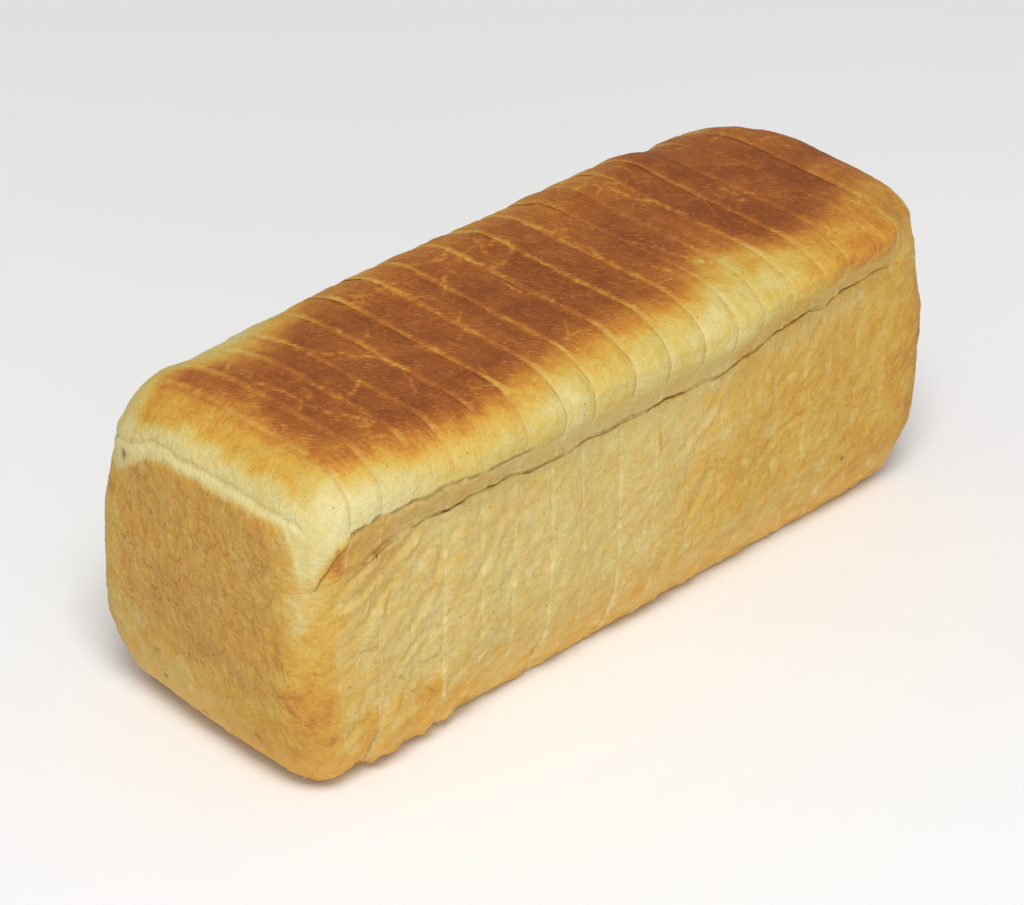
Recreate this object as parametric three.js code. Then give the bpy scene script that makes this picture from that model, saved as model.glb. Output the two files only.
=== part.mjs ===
// A long sandwich loaf baked in a lidded tin and put through a bread slicer.
//
// The lid keeps its top flat. In the oven the dough tore loose from the side crust below the lid,
// and its shoulders swelled out over that tear, further on the front side than on the back.
// The slicer cut it into upright slices with a rounded heel at each end. The slices still stand
// together as a loaf, a saw cut apart.
//
// Millimetres. X runs along the loaf, Y across it (the front side is -Y), Z up.
// The origin is the middle of its footprint, on the surface that it stands on.

import * as THREE from 'three';
import { mergeVertices } from 'three/addons/utils/BufferGeometryUtils.js';

// ---- driving dimensions ----

const LENGTH = 285;
const HEIGHT = 111;
const WALL = 49;              // half the width across the side crusts

const HEEL_A = 15.5;          // thickness of the heel at -X
const SLICES = [              // thickness of each slice between the heels, which came out uneven
  13.7, 13.4, 12.7, 14.8, 13.9, 15.8, 14.2, 16.7, 15.3, 15, 14, 12.7, 13.4, 14, 12.6, 14.1, 12.9];
const SAW_CUT = 0.3;          // gap between two slices
const SKEW = 0.015;           // the cuts aren't quite square: shift along X for each mm of Y,
const LEAN = -0.02;           // and for each mm of height above the middle

const FOOT = { across: 13, high: 24 };       // the slow curve from the base up into the wall
const FRONT = {                              // the front shoulder
  tear: 82.5, depth: 3.4,                    // height of the tear and its depth in from the wall
  lip: 94.5, overhang: 6,                    // height of the lip above it, and how far it stands out
  across: 21,                                // from the flat top out to the wall
};
const BACK = { tear: 80, depth: 1.6, lip: 84, overhang: 1.2, across: 29 };
const TEAR_RISE = 4.5;        // how much higher the tear runs towards +X
const TEAR_LEFT = 0.15;       // the share of the tear and overhang that is left at the heels

const EDGE_RADIUS = 15;       // upright edges at the heels, low down
const CORNER_RADIUS = 31;     // and the same edges at the lid, where the dough didn't fill the tin
const FULL_CORNER = 17;       // but for the front corner of heel A, where it did
const TOP_DROP = { along: 29, high: 24 };    // curve from the flat top down the end face
const BASE_RISE = { along: 16, high: 31 };   // curve from the end face under to the base
const DOME = 1.6;             // how far the middle of an end face swells past its rim
const FACE_MIDDLE = 0.55;     // size of that flat middle, as a share of the face

const CURVE_STEPS = 5;        // straight pieces in each curve of the section
const HEEL_STEPS = 7;         // layers in the rounded part of a heel
const SLICE_STEPS = 2;        // layers in a slice

const CRUST = new THREE.Color(0.80, 0.69, 0.42);
const HEEL_CRUST = new THREE.Color(0.76, 0.59, 0.32);

// ---- the section across the loaf ----

// One side from the base up to the flat top, as Y (outwards positive) and Z.
function sidePoints({ tear, depth, lip, overhang, across }) {
  const foot = new THREE.EllipseCurve(
    WALL - FOOT.across, FOOT.high, FOOT.across, FOOT.high, -Math.PI / 2, 0);
  const wall = new THREE.SplineCurve([
    new THREE.Vector2(WALL, FOOT.high),
    new THREE.Vector2(WALL + 0.4, 0.6 * tear),
    new THREE.Vector2(WALL - 0.5, tear - 4),
    new THREE.Vector2(WALL - depth, tear),
  ]);
  const reach = WALL + overhang;
  const bulge = lip + 0.3 * (HEIGHT - lip);
  const underside = new THREE.SplineCurve([
    new THREE.Vector2(WALL - depth, tear + 1),
    new THREE.Vector2(WALL + 0.3 * overhang, 0.5 * (tear + lip)),
    new THREE.Vector2(reach - 0.5, lip),
    new THREE.Vector2(reach, bulge),
  ]);
  const shoulder = new THREE.EllipseCurve(
    reach - across, bulge, across, HEIGHT - bulge, 0, Math.PI / 2);
  return [foot, wall, underside, shoulder].flatMap((curve, i) =>
    curve.getPoints(CURVE_STEPS).slice(i === 0 || i === 2 ? 0 : 1));
}

// The whole outline: X of the shape is the loaf's Y, and Y of the shape is its Z.
function section() {
  const back = sidePoints(BACK);
  const front = sidePoints(FRONT).map(p => new THREE.Vector2(-p.x, p.y)).reverse();
  return new THREE.Shape([...back, ...front]);
}

// ---- the form of the loaf ----

const smooth = THREE.MathUtils.smoothstep;
const halfLength = LENGTH / 2;
const rim = halfLength - DOME;

// How far an elliptical curve has fallen away at x, where it starts `along` before the rim.
function fall(x, along, high) {
  const t = Math.min(Math.max((Math.abs(x) - (rim - along)) / along, 0), 1);
  return high * (1 - Math.sqrt(1 - t * t));
}

// The tear runs a little up and down the side, and higher towards +X.
function tearShift(x, z) {
  const along = TEAR_RISE * smooth(x, 30, 75) + 0.8 * Math.sin(x / 21);
  return along * Math.exp(-(((z - FRONT.tear - 3) / 12) ** 2));
}

// Towards the heels the tear closes and the shoulder comes back in line with the wall.
function closeTear(x, point) {
  const { tear, lip, overhang, across } = point.y < 0 ? FRONT : BACK;
  const open = THREE.MathUtils.lerp(TEAR_LEFT, 1, smooth(x, -150, -60) * (1 - smooth(x, 85, 136)));
  const out = Math.abs(point.y);
  if (point.z < tear - 6 || out < WALL + overhang - across) return;
  const flat = WALL + overhang - across;
  const closed = point.z > lip + 1 ? flat + (out - flat) * (WALL - flat) / across : WALL;
  point.y = Math.sign(point.y) * THREE.MathUtils.lerp(closed, out, open);
}

// Each slice stood a little differently in the tin's heat, so the side walls swell and dip.
function wallSwell(x, y, z) {
  const onWall = smooth(Math.abs(y), WALL - 12, WALL - 4) * smooth(z, 8, 40);
  return onWall * (0.5 * Math.sin(x / 17 + Math.sign(y)) + 0.35 * Math.sin(x / 6.1 + z / 40));
}

// Takes a point of the straight bar to its place on the loaf.
function bake(point) {
  const { x } = point;
  closeTear(x, point);
  point.y += Math.sign(point.y) * wallSwell(x, point.y, point.z);
  point.z += tearShift(x, point.z);
  const lidRadius = x < 0 && point.y < 0 ? FULL_CORNER : CORNER_RADIUS;
  const radius = THREE.MathUtils.lerp(EDGE_RADIUS, lidRadius, smooth(point.z, 65, 100));
  const inset = fall(x, radius, radius);
  const low = fall(x, BASE_RISE.along, BASE_RISE.high);
  const high = HEIGHT - fall(x, TOP_DROP.along, TOP_DROP.high);
  point.y *= 1 - inset / WALL;
  point.z = THREE.MathUtils.lerp(low, high, point.z / HEIGHT);
}

// ---- slices and heels ----

// A cut's X at a point of the section, for a cut whose middle is at `cut`.
const cutX = (cut, y, z) => cut + SKEW * y + LEAN * (z - HEIGHT / 2);

// Extrudes the section into `steps` layers and moves every vertex by place(fraction, point).
function layeredBlock(steps, place) {
  let geometry = new THREE.ExtrudeGeometry(section(), { depth: 1, steps, bevelEnabled: false });
  geometry.deleteAttribute('normal');
  geometry.deleteAttribute('uv');
  geometry = mergeVertices(geometry, 1e-5);
  const position = geometry.getAttribute('position');
  const point = new THREE.Vector3();
  for (let i = 0; i < position.count; i++) {
    point.set(0, position.getX(i), position.getY(i));
    place(position.getZ(i), point);
    position.setXYZ(i, point.x, point.y, point.z);
  }
  geometry.computeVertexNormals();
  return geometry;
}

function sliceGeometry(from, to) {
  return layeredBlock(SLICE_STEPS, (fraction, point) => {
    const low = cutX(from, point.y, point.z) + SAW_CUT / 2;
    const high = cutX(to, point.y, point.z) - SAW_CUT / 2;
    point.x = THREE.MathUtils.lerp(low, high, fraction);
    bake(point);
  });
}

// A heel: layers from the cut that close in round the end as they near the rim, and past it the
// flat middle of the domed face.
function heelGeometry(cut, side) {
  const steps = HEEL_STEPS + 2;
  return layeredBlock(steps, (fraction, point) => {
    const layer = Math.round((side > 0 ? fraction : 1 - fraction) * steps);
    const turn = Math.min(layer / (steps - 1), 1) * Math.PI / 2;
    const inner = cutX(cut, point.y, point.z) + side * SAW_CUT / 2;
    point.x = THREE.MathUtils.lerp(inner, side * rim, Math.sin(turn));
    bake(point);
    if (layer === steps) {
      point.x = side * halfLength;
      point.y *= FACE_MIDDLE;
      point.z = THREE.MathUtils.lerp(HEIGHT / 2, point.z, FACE_MIDDLE);
    }
  });
}

function crustMesh(name, geometry, color) {
  const material = new THREE.MeshStandardMaterial({ color, roughness: 0.75, metalness: 0 });
  const mesh = new THREE.Mesh(geometry, material);
  mesh.name = name;
  return mesh;
}

const loaf = new THREE.Group();
let cut = -halfLength + HEEL_A;
loaf.add(crustMesh('heel_a', heelGeometry(cut, -1), HEEL_CRUST));
SLICES.forEach((thickness, i) => {
  const name = `slice_${String(i + 1).padStart(2, '0')}`;
  loaf.add(crustMesh(name, sliceGeometry(cut, cut + thickness), CRUST));
  cut += thickness;
});
loaf.add(crustMesh('heel_b', heelGeometry(cut, 1), HEEL_CRUST));

// The front shoulder stands out further than the back one, so the footprint's middle is moved to
// the origin.
const box = new THREE.Box3().setFromObject(loaf, true);
loaf.position.y = -(box.min.y + box.max.y) / 2;
loaf.updateMatrixWorld(true);

export default loaf;
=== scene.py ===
"""A sliced tin loaf: seventeen slices between two rounded heels, standing together as one loaf."""

import math

import bmesh
import bpy
import numpy as np
from mathutils import Matrix, Vector, noise


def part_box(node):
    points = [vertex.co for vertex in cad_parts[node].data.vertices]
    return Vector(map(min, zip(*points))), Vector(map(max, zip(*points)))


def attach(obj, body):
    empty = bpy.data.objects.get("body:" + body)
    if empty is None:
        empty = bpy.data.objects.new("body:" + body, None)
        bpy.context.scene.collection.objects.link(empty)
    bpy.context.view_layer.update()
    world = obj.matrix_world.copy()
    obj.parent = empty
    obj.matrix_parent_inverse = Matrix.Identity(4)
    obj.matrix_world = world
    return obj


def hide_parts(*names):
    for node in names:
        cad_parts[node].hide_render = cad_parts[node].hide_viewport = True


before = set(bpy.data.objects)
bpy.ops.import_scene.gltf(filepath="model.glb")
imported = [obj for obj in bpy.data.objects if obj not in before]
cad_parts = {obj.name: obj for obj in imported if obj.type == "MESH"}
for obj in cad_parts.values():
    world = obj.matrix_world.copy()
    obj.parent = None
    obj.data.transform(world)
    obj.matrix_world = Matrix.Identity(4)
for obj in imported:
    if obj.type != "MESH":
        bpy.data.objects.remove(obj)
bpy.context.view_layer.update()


# ---- The dough's form ----
# The dough filled a lidded tin, so its lid side is flat and its walls are straight. Under the lid it
# tore loose from the side crust, and its shoulders swelled out over the tear, most on the front side.
# Sizes are in millimetres: X along the loaf, the front side at -Y, Z up from the base.

MM = 0.001
LENGTH = 285.0
HEIGHT = 111.0
WALL = 49.0                   # half the width across the walls
DOME = 1.6                    # how far the middle of an end swells past its rim
RIM = LENGTH / 2 - DOME
FOOT_ACROSS, FOOT_HIGH = 13.0, 24.0       # the curve from the base up into a wall

# The height of the tear and its depth in from the wall, the height of the lip above it and how far that
# stands out, and how far the shoulder curves in from there to the flat lid side.
FRONT = dict(tear=82.5, depth=3.4, lip=94.5, overhang=6.0, across=21.0)
BACK = dict(tear=80.0, depth=1.6, lip=84.0, overhang=1.2, across=29.0)

# The heels' upright edges low down, the same at the lid, and the one corner that filled the tin.
EDGE_RADIUS, CORNER_RADIUS, FULL_CORNER = 15.0, 31.0, 17.0
TOP_ALONG, TOP_DROP = 29.0, 24.0          # the curve from the lid side down to a heel's face
BASE_ALONG, BASE_RISE = 16.0, 31.0        # and from the face under to the base


def smooth(value, low, high):
    """0 below the low value and 1 above the high one, smooth between."""
    share = np.clip((value - low) / (high - low), 0, 1)
    return share * share * (3 - 2 * share)


def mix(first, second, share):
    """The first value turned into the second by that share."""
    return first + (second - first) * share


def bump(value, middle, width):
    """1 at the middle, fading to 0 over about twice that width on both sides."""
    return np.exp(-((value - middle) / width) ** 2)


def arc(centre, radii, start, end, steps=90):
    """Points round an ellipse, from one angle in degrees to another."""
    turn = np.radians(np.linspace(start, end, steps))
    return np.stack([centre[0] + radii[0] * np.cos(turn), centre[1] + radii[1] * np.sin(turn)], 1)


def spline(points, steps=40):
    """A smooth curve through the points."""
    knots = np.array([points[0], *points, points[-1]], float)
    t = np.linspace(0, 1, steps, endpoint=False)[:, None]
    spans = []
    for a, b, c, d in zip(knots, knots[1:], knots[2:], knots[3:]):
        spans.append(b + 0.5 * t * (c - a + t * (2 * a - 5 * b + 4 * c - d + t * (3 * (b - c) + d - a))))
    return np.concatenate(spans)


def side_outline(tear, depth, lip, overhang, across):
    """One side from the base up to the flat lid side, and the number of points below the tear."""
    reach = WALL + overhang
    bulge = lip + 0.3 * (HEIGHT - lip)
    low = [
        arc((WALL - FOOT_ACROSS, FOOT_HIGH), (FOOT_ACROSS, FOOT_HIGH), -90, 0)[:-1],
        spline([(WALL, FOOT_HIGH), (WALL + 0.4, 0.6 * tear), (WALL - 0.5, tear - 4), (WALL - depth, tear)])]
    high = [
        spline([(WALL - depth, tear + 1), (WALL + 0.3 * overhang, (tear + lip) / 2),
                (reach - 0.5, lip), (reach, bulge)]),
        arc((reach - across, bulge), (across, HEIGHT - bulge), 0, 90)]
    return np.concatenate(low + high), sum(map(len, low))


# The outline across the loaf, from the middle of the base up the back and down the front, and how far
# along it lie its points, the two tears and the middle of the lid side.
back_side, back_tear = side_outline(**BACK)
front_side, front_tear = side_outline(**FRONT)
outline = np.concatenate([[(0, 0)], back_side, (front_side * (-1, 1))[::-1], [(0, 0)]])
strides = np.linalg.norm(np.diff(outline, axis=0), axis=1)
outline_length = np.concatenate([[0], np.cumsum(strides)])
back_mark = outline_length[1 + back_tear]
front_mark = outline_length[len(outline) - 2 - front_tear]
upper = slice(150, -150)      # the outline without its base and the foot of its walls
lid_middle = np.interp(0, -outline[upper, 0], outline_length[upper])
fineness = 1 + 1.1 * bump(outline[1:, 1], 87, 9) * (outline[1:, 0] < -30)   # finest at the front tear
outline_share = np.concatenate([[0], np.cumsum(strides * fineness)])
outline_share /= outline_share[-1]


def fall(x, along, high):
    """How far an elliptical curve has fallen away at x, where it starts `along` before the rim."""
    share = np.clip((np.abs(x) - (RIM - along)) / along, 0, 1)
    return high * (1 - np.sqrt(1 - share * share))


# Heights along the front side, as pairs of X and Z: where the wall ends at the tear, and the lip.
TEAR_LINE = np.array([
    (-145, 81), (-118, 80), (-100, 83), (-75, 83.5), (-58, 83), (-42, 81.2), (-10, 81.6), (20, 81),
    (38, 82.5), (52, 84.5), (62, 87.5), (72, 88.2), (80, 86.5), (90, 88.2), (105, 90.5), (145, 91)])
LIP_LINE = np.array([
    (-145, 92), (-127, 93), (-97, 93), (-84, 94), (-55, 95), (30, 95), (44, 97), (60, 99.5), (84, 100),
    (145, 100.5)])


def tear_shift(x, y, z):
    """How far the tear and the lip of the front side stand above or below their usual heights."""
    low = np.interp(x, *TEAR_LINE.T) - FRONT["tear"] + 0.8 * np.sin(x / 3.7) * np.sin(x / 9.1 + 1)
    high = np.interp(x, *LIP_LINE.T) - FRONT["lip"]
    between = np.clip((z - FRONT["tear"]) / (FRONT["lip"] - FRONT["tear"]), 0, 1)
    under = smooth(z, FRONT["tear"] - 30, FRONT["tear"])
    over = 1 - smooth(z, FRONT["lip"], HEIGHT)
    return np.where(y < 0, mix(low, high, between) * under * over, 0.8 * np.sin(x / 21) * bump(z, 84, 9))


def tear_share(x):
    """How far open the tear is, from 0 to 1: it closes towards the heels."""
    return mix(0.15 * (x < 0), 1.0, smooth(x, -150, -60) * (1 - smooth(x, 98, 124)))


def close_tear(x, y, z):
    """Where the tear closes, the shoulder comes back in line with the wall."""
    open_share = tear_share(x)
    out = np.abs(y)
    for side, size in ((-1, FRONT), (1, BACK)):
        flat = WALL + size["overhang"] - size["across"]
        shut = np.where(z > size["lip"] + 1, flat + (out - flat) * (WALL - flat) / size["across"], WALL)
        moves = (np.sign(y) == side) * (out > flat) * smooth(z, size["tear"] - 16, size["tear"] - 3)
        y = mix(y, side * mix(shut, out, open_share), moves)
    return y


def wall_swell(x, y, z):
    """Each slice stood a little differently in the tin's heat, so the walls swell and dip."""
    on_wall = smooth(np.abs(y), WALL - 12, WALL - 4) * smooth(z, 8, 40)
    return on_wall * (0.5 * np.sin(x / 17 + np.sign(y)) + 0.35 * np.sin(x / 6.1 + z / 40))


def bake(x, y, z):
    """Takes points of the straight bar of dough to their place on the loaf."""
    y = close_tear(x, y, z)
    y = y + np.sign(y) * wall_swell(x, y, z)
    z = z + tear_shift(x, y, z)
    lid_radius = np.where((x < 0) & (y < 0), FULL_CORNER, CORNER_RADIUS)
    radius = mix(EDGE_RADIUS, lid_radius, smooth(z, 65, 100))
    y = y * (1 - fall(x, radius, radius) / WALL)
    low = fall(x, BASE_ALONG, BASE_RISE)
    high = HEIGHT - fall(x, TOP_ALONG, TOP_DROP)
    return np.stack([x, y, mix(low, high, z / HEIGHT)], 1)


# ---- Slicing ----
# The slicer's blades went down through the loaf side by side, a little skewed and leaning. The
# slices came out uneven, and each stands a hair off its neighbours.

SKEW, LEAN = 0.015, -0.02     # shift along X for each mm across and for each mm of height
GAP = 0.06                    # between two slices at their faces
GRID = 0.62      # the size of the crust's mesh cells
HEEL_CURVE = 17.0             # extra crust where a heel's sides curve into its face
NAMES = ["heel_a", *(f"slice_{i:02d}" for i in range(1, 18)), "heel_b"]
cuts = [(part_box(a)[1].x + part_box(b)[0].x) / 2 / MM for a, b in zip(NAMES, NAMES[1:])]

# Cuts that aren't straight: pairs of height and shift along X.
BENDS = {cuts[0]: [(11, 1.6), (32, -0.6), (58, -2.6), (76, -0.6), (95, 2), (111, 3.6)],
         cuts[2]: [(60, 0), (111, 1.8)], cuts[7]: [(60, 0), (111, -1)]}


def cut_x(cut, y, z):
    """X of the cut whose middle is at `cut`, at this place across the loaf and this height."""
    bend = np.interp(z, *np.transpose(BENDS.get(cut, [(0, 0)])))
    return cut + bend + SKEW * y + LEAN * (z - HEIGHT / 2)


def block(cells, open_ends):
    """A cube from -1 to 1, its sides cut into that many cells along X, Y and Z, open at some X ends."""
    bm = bmesh.new()
    bmesh.ops.create_cube(bm, size=2)
    cut_faces = [f for f in bm.faces if round(f.calc_center_median().x) in open_ends]
    bmesh.ops.delete(bm, geom=cut_faces, context="FACES_ONLY")
    for axis, count in enumerate(cells):
        along = [e for e in bm.edges if abs(e.verts[0].co[axis] - e.verts[1].co[axis]) > 1]
        bmesh.ops.subdivide_edges(bm, edges=along, cuts=count - 1, use_grid_fill=True)
    return bm


class Crust:
    """The crust of one slice or heel: its mesh, and where its vertices lie on the loaf."""

    def __init__(self, name):
        self.name = name
        self.number = NAMES.index(name)
        low, high = (None, *cuts, None)[self.number:self.number + 2]
        self.heel = -1 if low is None else 1 if high is None else 0     # 0 for a slice
        only = high if low is None else low             # a heel's only cut
        around = round(outline_length[-1] / 4 / GRID)
        thick = RIM - abs(only) + HEEL_CURVE if self.heel else high - low
        self.bm = block((round(thick / GRID), around, around), {-1, 1} - {self.heel})
        cube = np.array([v.co for v in self.bm.verts])
        spread = np.maximum(np.abs(cube[:, 1]), np.abs(cube[:, 2]))     # 1 on the sides, 0 mid end
        y, z = (cube[:, 1:] / np.maximum(spread, 1e-6)[:, None]).T
        edge = 1 - 1e-5
        # The way round the cube, from the middle of its base, as a share of the whole.
        ring = np.select([(z < -edge) & (y >= 0), y > edge, z > edge, y < -edge],
                         [y / 8, (2 + z) / 8, (4 - y) / 8, (6 - z) / 8], (8 + y) / 8)
        y, z = (np.interp(ring, outline_share, outline[:, k]) for k in (0, 1))
        if self.heel:
            turn = np.sin((self.heel * cube[:, 0] + 1) / 4 * math.pi)
            x = mix(cut_x(only, y, z) + self.heel * GAP / 2, self.heel * RIM, turn)
        else:
            turn = mix(cube[:, 0], np.sin(cube[:, 0] * math.pi / 2), 0.55) / 2 + 0.5    # finer by the cuts
            x = mix(cut_x(low, y, z) + GAP / 2, cut_x(high, y, z) - GAP / 2, turn)
        self.bar = np.stack([x, y, z], 1)               # on the straight bar of dough
        self.at = bake(x, y, z)                         # and on the loaf
        hub = np.array([0, HEIGHT / 2])
        for points in (self.bar, self.at):
            points[:, 1:] = mix(hub, points[:, 1:], spread[:, None])
        self.at[:, 0] += self.heel * DOME * (1 - spread ** 2)
        along = np.interp(ring, outline_share, outline_length)
        self.front = self.bar[:, 1] < 0
        self.rise = np.where(self.front, front_mark - along, along - back_mark)     # above the tear
        self.across = along - lid_middle                    # over the crust from the lid's middle
        past = np.stack([self.bar[:, 0] - cut_x(c, y, z) for c in cuts], 1)
        self.cut = np.abs(past).argmin(1)
        self.past_cut = np.take_along_axis(past, self.cut[:, None], 1)[:, 0]
        self.place(self.at)
        self.normal = np.array([v.normal for v in self.bm.verts])
        self.end = smooth(np.abs(self.normal[:, 0]), 0.25, 0.8) * (self.heel != 0)

    def place(self, points):
        """Puts the mesh's vertices at these points of the loaf."""
        for vertex, point in zip(self.bm.verts, (points + (0, shift_y, 0)) * MM):
            vertex.co = point
        self.bm.normal_update()


sides = [bake(np.full(len(outline), x), *outline.T)[:, 1] for x in np.linspace(-RIM, RIM, 400)]
shift_y = -(np.min(sides) + np.max(sides)) / 2         # puts the footprint's middle at the origin
crusts = [Crust(name) for name in NAMES]


# ---- Crust relief ----
# The crust is a thin skin that dried while the crumb under it still moved, so it is full of lumps,
# folds and small cracks. The lid and the base pressed it flat, and the tear left it ragged.

def grain(points, size, start=0.0):
    """Soft random lumps of about this size in mm, from -1 to 1. Size may be given for X, Y and Z."""
    return np.array([noise.noise(p) for p in (points / np.array(size) + start).tolist()])


def turned(points, degrees):
    """The points turned in the XZ plane, for patterns that run aslant."""
    a = math.radians(degrees)
    x, y, z = points.T
    return np.stack([x * math.cos(a) + z * math.sin(a), y, z * math.cos(a) - x * math.sin(a)], 1)


def flakes(points, size, start=0.0):
    """Rounded scales of about this size, 0 along the lines between them and towards 1 in their middles."""
    found = [noise.voronoi(p)[0][:2] for p in (points / np.array(size) + start).tolist()]
    near, second = np.array(found).T
    return np.clip(second - near, 0, 1)


def strokes(u, v, lines, width):
    """1 on lines drawn through points (u, v), and 0 away from them."""
    found = np.zeros(len(u))
    for line in lines:
        for start, end in zip(np.array(line, float), np.array(line[1:], float)):
            way = end - start
            share = np.clip(((u - start[0]) * way[0] + (v - start[1]) * way[1]) / (way @ way), 0, 1)
            apart = np.hypot(u - start[0] - share * way[0], v - start[1] - share * way[1])
            found = np.maximum(found, np.exp(-(apart / width) ** 2))
    return found


LIP_RISE, BACK_LIP_RISE = 12.5, 4.3       # from the tear out to the lip, over the crust

# Round each heel, as distance round from its front edge and height: the crease where the shoulder's
# crust folds over the end, and the edge of the pale crust that hangs below it, lowest at the front corner.
CREASE = np.array([
    (-115, 84), (-98, 88), (-84, 92), (-74, 96.5), (-65, 97.5), (-58, 96.2), (-53, 97.4), (-11, 96.9),
    (-3, 95.6), (1, 92.5), (8, 93), (40, 93)])
PALE_EDGE = np.array([
    (-115, 77), (-98, 80), (-88, 82), (-79, 86), (-72, 91.5), (-65, 93.4), (-16, 94), (-9.6, 93),
    (-6.2, 87.5), (-4.4, 82), (-2.5, 78.5), (3, 79), (6, 82.5), (9, 86), (12, 89.5), (15.4, 92), (19, 94),
    (40, 94.5)])
CREASED = {-1: 1, 0: 0, 1: 0.3}           # how sharp that crease is on heel A, a slice and heel B
SLICE_TRAITS = np.random.default_rng(7).uniform(-1, 1, (len(NAMES), 4))      # how the slices differ


def find_regions(crust):
    """Which part of the loaf's crust each vertex is on, as shares from 0 to 1."""
    x, y, z = crust.at.T
    front = smooth(-crust.bar[:, 1], 5, 15)
    ragged = 0.8 * grain(crust.at, 6, 1) + 0.45 * grain(crust.at, 2, 4)
    ragged = ragged * mix(1, 1.7, crust.end)
    around = -WALL - y - np.tanh(y / 12) * (LENGTH / 2 - np.abs(x))

    # How far each vertex is above the lip, and how softly its crust turns into the wall's.
    lip_rise = LIP_RISE + 3.2 * (1 - smooth(x, -95, -50))
    over = crust.rise - np.where(crust.front, lip_rise, BACK_LIP_RISE)
    if crust.heel < 0:
        over = z - np.interp(around, *PALE_EDGE.T)
    if crust.heel > 0:
        over = mix(over, z - 98, smooth(x, 112, 128))
    near_end = 1 - smooth(x, -100, -80)
    crust.tip = (crust.heel < 0) * smooth(around, -4, 4) * (1 - smooth(around, 14, 18)) * front
    soft = mix(2.4, 0.6, near_end) + 7 * smooth(x, 96, 116) + 0.8 * crust.end + 1.2 * crust.tip
    crust.ragged, crust.over = ragged, over

    # The tear, the strip above it, the wall, the lid side and the shoulder.
    crust.tear_open = (1 - smooth(x, 100, 120)) * front * (crust.heel >= 0)
    crust.below_lip = 1 - smooth((over + ragged) / soft, -1, 1)
    crust.strip = crust.below_lip * smooth(crust.rise + 1.5 * ragged, -1, 4) * crust.tear_open
    crust.wall = crust.below_lip * (1 - crust.strip) * smooth(z, 0.6, 7)
    crust.lid = smooth(z, HEIGHT - 2.5, HEIGHT - 0.6)
    crust.shoulder = (1 - crust.below_lip) * (1 - crust.lid)
    crust.lip_crack = bump(over + ragged, 0, 0.7) * front * (1 - smooth(x, -62, -30)) * (crust.heel == 0)
    crust.lip_crack *= smooth(grain(crust.at, 5, 58), -0.5, 0.1)
    crust.tear = bump(crust.rise + 1.3 * ragged, 0, 0.7) * crust.tear_open * smooth(x, -106, -86)

    # The crease on the heels, and the crack at its tip on heel A's front corner.
    wavy = 0.5 * grain(crust.at, 5, 2) + 0.35 * grain(crust.at, 1.6, 6)
    crust.crease = z - np.interp(around, *CREASE.T) + wavy
    crust.creased = CREASED[crust.heel] * (1 - smooth(around, -4, 2)) * smooth(np.abs(x), 126, 132)
    crust.tip_crack = crust.tip * bump(over + 0.7 * ragged, -3.6, 0.6) * smooth(around, 1, 5)


# Folds and cracks of the front wall, as pairs of X and Z, and cracks of the lid side, as X and Y.
FOLDS = [[(-130, 67), (-115.5, 71), (-108, 73.6), (-101, 78.6), (-95, 85)],
         [(-125, 74), (-118, 78), (-111, 81), (-101, 84)], [(-128, 68.5), (-119, 68.7)],
         [(-118, 57), (-111, 66), (-107, 67.5)], [(-104, 39), (-95, 44.5), (-87, 43)],
         [(-126, 19), (-116, 25)], [(51.7, 42), (62.5, 49.5), (73, 51)],
         [(28, 52), (38, 48), (45.5, 46), (52, 41)], [(21, 36), (26, 41), (28, 48)],
         [(15, 61), (27, 69), (33.5, 80)], [(-78, 52), (-70, 60), (-66, 70)],
         [(-100, 50), (-92, 58), (-88, 70)], [(60, 66), (72, 73), (80, 82)]]
CRACKS = [[(-96, 34), (-91, 33.7), (-87, 33)], [(-85, 31), (-77, 29), (-73, 29)],
          [(-113, 36), (-106, 34), (-102, 31)], [(-100, 26), (-95, 24.5), (-90, 21)],
          [(-124, 50), (-115, 48.5)], [(7, 24), (10.6, 26), (15, 24)]]
LID_CRACKS = [[(-44, 24), (-41.5, 12), (-36, 7.5), (-29, 11), (-26, 15)],
              [(-14, 21), (-10, 9.5), (-4, 10), (2, 14), (5, 18)],
              [(-87, 16), (-84, 5), (-76, -4), (-72, -16)], [(-100, -5), (-96, -16), (-88, -14)],
              [(-16, 3), (-15, -8), (-11, -13)], [(54, 20), (58, 5), (60, -10)],
              [(-56, 27), (-50, 22), (-44, 24)], [(-27, 27), (-20, 24), (-12, 27)],
              [(18, 24), (21, 8), (19, -14)], [(85, -10), (90, -16), (97, -18)],
              [(-110, 6), (-106, -20), (-100, -34)], [(34, -8), (36, -20), (41, -34)]]

# Where the loaf came out fuller or slacker than the tin: place, reach along X, Y and Z, and how far.
SWELLS = [((-139, 44, 88), (14, 16, 15), 2.2), ((-139, 44, 58), (14, 16, 34), 0.8),
          ((-139, 46, 30), (14, 16, 14), 0.8), ((-130, 40, 102), (13, 13, 10), 2.2),
          ((-127, -20, 109), (12, 24, 8), 1.2), ((-139, 38, 8), (16, 22, 22), -2.8),
          ((-139, 0, 3), (14, 24, 12), -0.6), ((-137, -44, 4), (16, 14, 14), -1.2),
          ((122, 16, 110), (16, 14, 7), 0.9), ((138, -2, 106), (13, 32, 12), 2.4),
          ((125, -43, 106), (12, 14, 10), -4.0), ((130, -48, 92), (14, 12, 12), 2.4),
          ((138, -42, 10), (20, 16, 24), -1.0), ((140, -42, 55), (12, 16, 30), -0.7)]

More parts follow.
